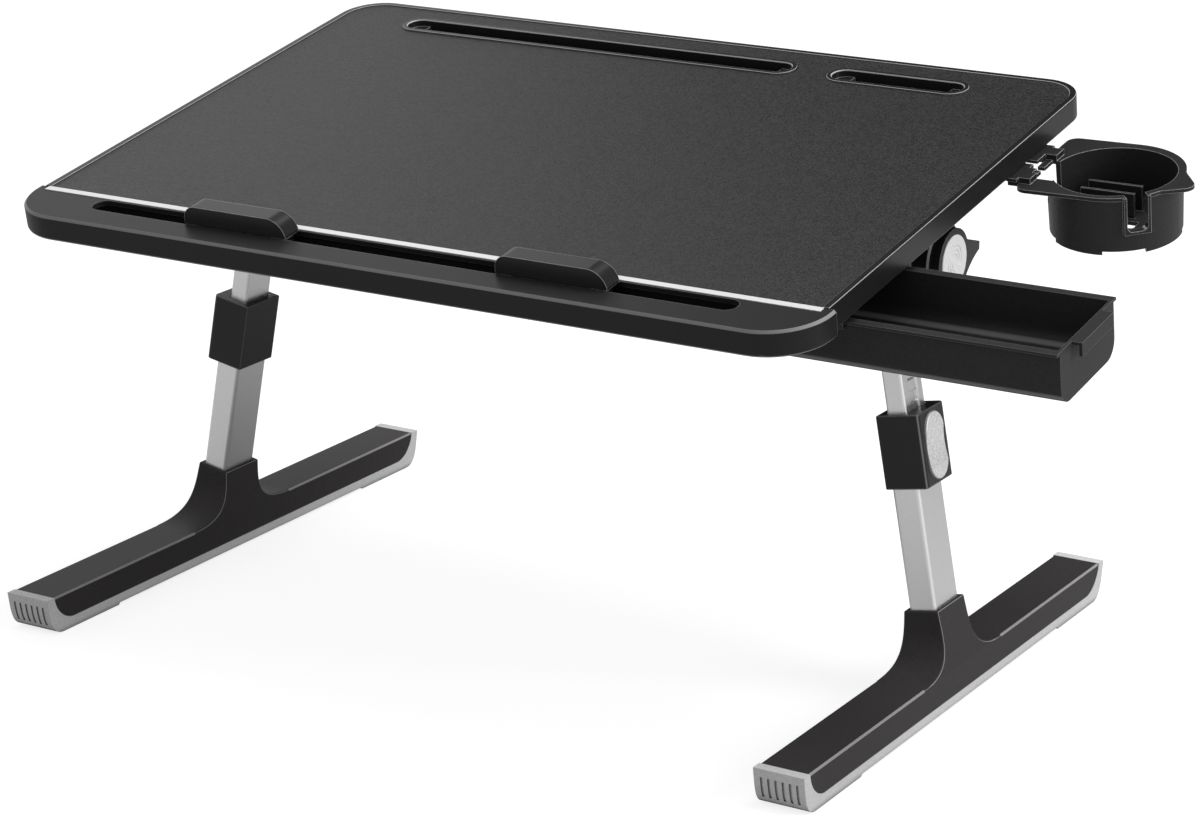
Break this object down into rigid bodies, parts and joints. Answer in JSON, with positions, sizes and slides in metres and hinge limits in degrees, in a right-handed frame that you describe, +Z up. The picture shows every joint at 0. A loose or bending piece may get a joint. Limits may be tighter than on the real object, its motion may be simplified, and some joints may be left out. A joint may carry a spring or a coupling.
{
  "type": "folding laptop table",
  "caption": "Folding bed table with a tilting top, telescopic folding legs, side drawer, slide-out cup holder, device slots and sliding stoppers.",
  "frame": {"origin": "on the floor, midway between the two legs, in the plane of the legs", "axes": "+X to the right along the table's width, +Y to the rear, +Z up"},
  "size_m": [0.7531, 0.456, 0.3773],
  "materials": {
    "board": "dark lacquered board",
    "mat": "matte fine-grained leatherette",
    "plastic_satin": "satin black moulded plastic",
    "plastic_gloss": "semi-gloss black moulded plastic",
    "inlay": "white strip",
    "aluminium": "satin anodised",
    "silver_plastic": "silver-painted plastic",
    "white_plastic": "satin white",
    "sole_rubber": "mid-grey rubber",
    "steel": "plated steel",
    "blackened_steel": "blackened steel"
  },
  "bodies": {
    "table_top": {"table_board": "board", "leather_mat": "mat", "edge_trim": "plastic_satin", "front_strip": "plastic_gloss", "inlay_strip": "inlay", "channel_cover": "plastic_satin", "cover_screws": "blackened_steel", "long_slot_rim": "plastic_gloss", "short_slot_rim": "plastic_gloss", "long_slot_pocket": "plastic_satin", "short_slot_pocket": "plastic_satin", "pocket_screws": "blackened_steel", "hinge_housing_left": "plastic_satin", "hinge_housing_right": "plastic_satin", "hinge_screws_left": "blackened_steel", "hinge_screws_right": "blackened_steel", "drawer_rail_front": "plastic_satin", "drawer_rail_rear": "plastic_satin", "rail_screws": "blackened_steel", "cup_guide": "plastic_satin", "guide_screws": "blackened_steel"},
    "left_tilt_drum": {"tilt_fork_left": "plastic_satin", "hinge_cap_left": "white_plastic", "fold_bolt_left": "steel", "fold_nut_left": "steel"},
    "left_lock_lever": {"lock_ring_left": "plastic_satin"},
    "left_upper_leg": {"knuckle_left": "plastic_satin", "inner_tube_left": "aluminium", "glide_shoe_left": "plastic_satin"},
    "left_lower_leg": {"outer_tube_left": "aluminium", "collar_left": "plastic_satin", "latch_springs_left": "steel", "latch_pin_left": "steel", "foot_left": "plastic_satin", "sole_left": "sole_rubber", "foot_screws_left": "steel"},
    "left_latch_button": {"latch_button_left": "silver_plastic"},
    "left_latch_pawl": {"latch_pawl_left": "steel"},
    "right_tilt_drum": {"tilt_fork_right": "plastic_satin", "hinge_cap_right": "white_plastic", "fold_bolt_right": "steel", "fold_nut_right": "steel"},
    "right_lock_lever": {"lock_ring_right": "plastic_satin"},
    "right_upper_leg": {"knuckle_right": "plastic_satin", "inner_tube_right": "aluminium", "glide_shoe_right": "plastic_satin"},
    "right_lower_leg": {"outer_tube_right": "aluminium", "collar_right": "plastic_satin", "latch_springs_right": "steel", "latch_pin_right": "steel", "foot_right": "plastic_satin", "sole_right": "sole_rubber", "foot_screws_right": "steel"},
    "right_latch_button": {"latch_button_right": "silver_plastic"},
    "right_latch_pawl": {"latch_pawl_right": "steel"},
    "drawer": {"drawer": "plastic_satin"},
    "cup_holder": {"cup_holder": "plastic_satin"},
    "left_stopper": {"stopper_left": "plastic_satin"},
    "right_stopper": {"stopper_right": "plastic_satin"}
  },
  "joints": [
    {"name": "left_tilt", "type": "hinge", "parent": "table_top", "child": "left_tilt_drum", "pos_m": [-0.276, 0, 0.2975], "axis": [1, 0, 0], "range_deg": [-26, 10]},
    {"name": "left_lock", "type": "hinge", "parent": "table_top", "child": "left_lock_lever", "pos_m": [-0.293, 0, 0.2975], "axis": [-1, 0, 0], "range_deg": [0, 60]},
    {"name": "left_fold", "type": "hinge", "parent": "left_tilt_drum", "child": "left_upper_leg", "pos_m": [-0.2465, 0, 0.2975], "axis": [0, -1, 0], "range_deg": [0, 90]},
    {"name": "left_height", "type": "slide", "parent": "left_upper_leg", "child": "left_lower_leg", "axis": [0.1822, 0, 0.9833], "range_m": [-0.0155, 0.062]},
    {"name": "left_latch_press", "type": "slide", "parent": "left_lower_leg", "child": "left_latch_button", "axis": [0.9833, 0, -0.1822], "range_m": [0, 0.002], "stiffness_N_per_m": 400, "springref_m": -0.002, "deforming": ["latch_springs_left"]},
    {"name": "left_pawl_turn", "type": "hinge", "parent": "left_lower_leg", "child": "left_latch_pawl", "pos_m": [-0.28166, 0, 0.16594], "axis": [0, 1, 0], "range_deg": [0, 13]},
    {"name": "right_tilt", "type": "hinge", "parent": "table_top", "child": "right_tilt_drum", "pos_m": [0.276, 0, 0.2975], "axis": [1, 0, 0], "range_deg": [-26, 10]},
    {"name": "right_lock", "type": "hinge", "parent": "table_top", "child": "right_lock_lever", "pos_m": [0.293, 0, 0.2975], "axis": [-1, 0, 0], "range_deg": [0, 60]},
    {"name": "right_fold", "type": "hinge", "parent": "right_tilt_drum", "child": "right_upper_leg", "pos_m": [0.2465, 0, 0.2975], "axis": [0, 1, 0], "range_deg": [0, 90]},
    {"name": "right_height", "type": "slide", "parent": "right_upper_leg", "child": "right_lower_leg", "axis": [-0.1822, 0, 0.9833], "range_m": [-0.0155, 0.062]},
    {"name": "right_latch_press", "type": "slide", "parent": "right_lower_leg", "child": "right_latch_button", "axis": [-0.9833, 0, -0.1822], "range_m": [0, 0.002], "stiffness_N_per_m": 400, "springref_m": -0.002, "deforming": ["latch_springs_right"]},
    {"name": "right_pawl_turn", "type": "hinge", "parent": "right_lower_leg", "child": "right_latch_pawl", "pos_m": [0.28166, 0, 0.16594], "axis": [0, -1, 0], "range_deg": [0, 13]},
    {"name": "drawer_slide", "type": "slide", "parent": "table_top", "child": "drawer", "axis": [1, 0, 0], "range_m": [-0.14, 0.03]},
    {"name": "cup_slide", "type": "slide", "parent": "table_top", "child": "cup_holder", "axis": [1, 0, 0], "range_m": [-0.08, 0]},
    {"name": "left_stopper_slide", "type": "slide", "parent": "table_top", "child": "left_stopper", "axis": [1, 0, 0], "range_m": [-0.075, 0.08]},
    {"name": "right_stopper_slide", "type": "slide", "parent": "table_top", "child": "right_stopper", "axis": [1, 0, 0], "range_m": [-0.08, 0.08]}
  ],
  "couplings": [
    {"joint": "left_pawl_turn", "follows": "left_latch_press", "rad_per_m": 111},
    {"joint": "right_pawl_turn", "follows": "right_latch_press", "rad_per_m": 111}
  ]
}
